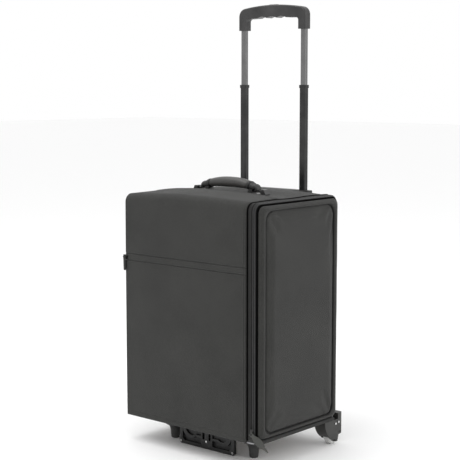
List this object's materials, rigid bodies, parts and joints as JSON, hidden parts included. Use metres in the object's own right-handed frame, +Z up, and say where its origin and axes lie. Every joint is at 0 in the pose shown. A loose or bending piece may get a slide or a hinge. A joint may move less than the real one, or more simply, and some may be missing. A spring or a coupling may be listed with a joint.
{
  "type": "trolley train case",
  "caption": "Soft-sided upright rolling case with a zip-round fold-down side door, front zip pocket, top carry handle, two-stage pull handle, rear corner wheels and front stand.",
  "frame": {"origin": "on the floor under the middle of the case", "axes": "+X to the right along the front face, towards the fold-down door; +Y to the back, towards the pull handle; +Z up"},
  "size_m": [0.4074, 0.3214, 0.983],
  "materials": {
    "woven_fabric": "dark charcoal woven nylon",
    "foam": "grey foam",
    "fibre_board": "grey hardboard",
    "stiff_strip": "matte",
    "lining_cloth": "smooth black lining",
    "zip_tape": "woven tape",
    "zip_coil": "moulded coil",
    "zip_metal": "dark plated metal",
    "piping_cord": "bound piping",
    "padded_cloth": "padded woven nylon",
    "rail_metal": "satin anodised",
    "mid_metal": "satin anodised",
    "tube_metal": "satin anodised",
    "black_plastic": "moulded, fine texture",
    "grip_plastic": "moulded, soft satin",
    "button_plastic": "satin",
    "mount_metal": "brushed",
    "steel_pin": "bright",
    "handle_leather": "satin leather look",
    "wheel_hub": "moulded",
    "wheel_tyre": "smooth off-white",
    "foot_plastic": "moulded",
    "nylon_strap": "moulded nylon"
  },
  "bodies": {
    "case": {"outer_fabric_shell": "woven_fabric", "foam_padding": "foam", "inner_lining": "lining_cloth", "front_board": "fibre_board", "rear_board": "fibre_board", "left_board": "fibre_board", "top_board": "fibre_board", "bottom_board": "fibre_board", "corner_stiffeners": "stiff_strip", "opening_frame": "stiff_strip", "front_pocket_panel": "woven_fabric", "pocket_zip_tape": "zip_tape", "pocket_zip_chain": "zip_coil", "case_zip_tape": "zip_tape", "case_zip_coil": "zip_coil", "hinge_piping": "piping_cord", "rail_left": "rail_metal", "rail_right": "rail_metal", "rail_bezel": "black_plastic", "rail_foot_bracket": "black_plastic", "rear_rail_cover": "woven_fabric", "wheel_housing_left": "black_plastic", "wheel_housing_right": "black_plastic", "wheel_axles": "steel_pin", "base_screws": "steel_pin", "stand_plate": "black_plastic", "foot_left": "foot_plastic", "foot_right": "foot_plastic", "handle_mounts": "mount_metal", "handle_pins": "steel_pin"},
    "door": {"door_lining": "lining_cloth", "door_board": "fibre_board", "door_rim": "padded_cloth", "door_padded_panel": "padded_cloth", "door_piping": "piping_cord", "door_zip_tape": "zip_tape", "door_zip_coil": "zip_coil"},
    "handle_stage_1": {"mid_tube_left": "mid_metal", "mid_tube_right": "mid_metal", "mid_tube_bushes": "black_plastic"},
    "handle_stage_2": {"inner_tube_left": "tube_metal", "inner_tube_right": "tube_metal", "grip_front_shell": "grip_plastic", "grip_rear_shell": "grip_plastic", "lock_pin_carriers": "black_plastic", "button_spring": "steel_pin"},
    "release_button": {"release_button": "button_plastic", "push_rods": "black_plastic"},
    "lock_pin_left": {"lock_pin_left": "steel_pin"},
    "lock_pin_right": {"lock_pin_right": "steel_pin"},
    "carry_handle": {"carry_handle_strap": "nylon_strap", "carry_handle_grip": "handle_leather"},
    "zip_slider": {"zip_slider": "zip_metal"},
    "zip_pull": {"zip_pull": "zip_metal"},
    "pocket_zip_slider": {"pocket_zip_slider": "zip_metal"},
    "pocket_zip_pull": {"pocket_zip_pull": "zip_metal"},
    "wheel_left": {"wheel_hub_left": "wheel_hub", "wheel_tyre_left": "wheel_tyre"},
    "wheel_right": {"wheel_hub_right": "wheel_hub", "wheel_tyre_right": "wheel_tyre"}
  },
  "joints": [
    {"name": "door_fold", "type": "hinge", "parent": "case", "child": "door", "pos_m": [0.195, 0, 0.06], "axis": [0, 1, 0], "range_deg": [0, 90]},
    {"name": "handle_upper_slide", "type": "slide", "parent": "handle_stage_1", "child": "handle_stage_2", "axis": [0, 0, 1], "range_m": [-0.1235, 0]},
    {"name": "handle_lower_slide", "type": "slide", "parent": "case", "child": "handle_stage_1", "axis": [0, 0, 1], "range_m": [-0.229, 0]},
    {"name": "button_press", "type": "slide", "parent": "handle_stage_2", "child": "release_button", "axis": [0, 0, -1], "range_m": [0, 0.0035], "stiffness_N_per_m": 600, "springref_m": -0.002, "deforming": ["button_spring"]},
    {"name": "lock_pin_left_slide", "type": "slide", "parent": "handle_stage_2", "child": "lock_pin_left", "axis": [1, 0, 0], "range_m": [0, 0.0018]},
    {"name": "lock_pin_right_slide", "type": "slide", "parent": "handle_stage_2", "child": "lock_pin_right", "axis": [-1, 0, 0], "range_m": [0, 0.0018]},
    {"name": "carry_handle_swing", "type": "hinge", "parent": "case", "child": "carry_handle", "pos_m": [0, -0.0115, 0.5736], "axis": [1, 0, 0], "range_deg": [-40, 40]},
    {"name": "zip_run", "type": "slide", "parent": "door", "child": "zip_slider", "axis": [0, 0, 1], "range_m": [0, 0.4]},
    {"name": "zip_pull_swing", "type": "hinge", "parent": "zip_slider", "child": "zip_pull", "pos_m": [0.1856, -0.1622, 0.084], "axis": [0.4311, 0.6071, 0.6675], "range_deg": [-120, 0]},
    {"name": "pocket_zip_run", "type": "slide", "parent": "case", "child": "pocket_zip_slider", "axis": [1, 0, 0], "range_m": [0, 0.325]},
    {"name": "pocket_pull_swing", "type": "hinge", "parent": "pocket_zip_slider", "child": "pocket_zip_pull", "pos_m": [-0.185, -0.1596, 0.42125], "axis": [1, 0, 0], "range_deg": [-130, 0]},
    {"name": "wheel_left_spin", "type": "hinge", "parent": "case", "child": "wheel_left", "pos_m": [-0.1805, 0.126, 0.021], "axis": [1, 0, 0], "continuous": true},
    {"name": "wheel_right_spin", "type": "hinge", "parent": "case", "child": "wheel_right", "pos_m": [0.1805, 0.126, 0.021], "axis": [1, 0, 0], "continuous": true}
  ],
  "couplings": [
    {"joint": "lock_pin_left_slide", "follows": "button_press", "ratio": 0.5},
    {"joint": "lock_pin_right_slide", "follows": "button_press", "ratio": 0.5}
  ]
}
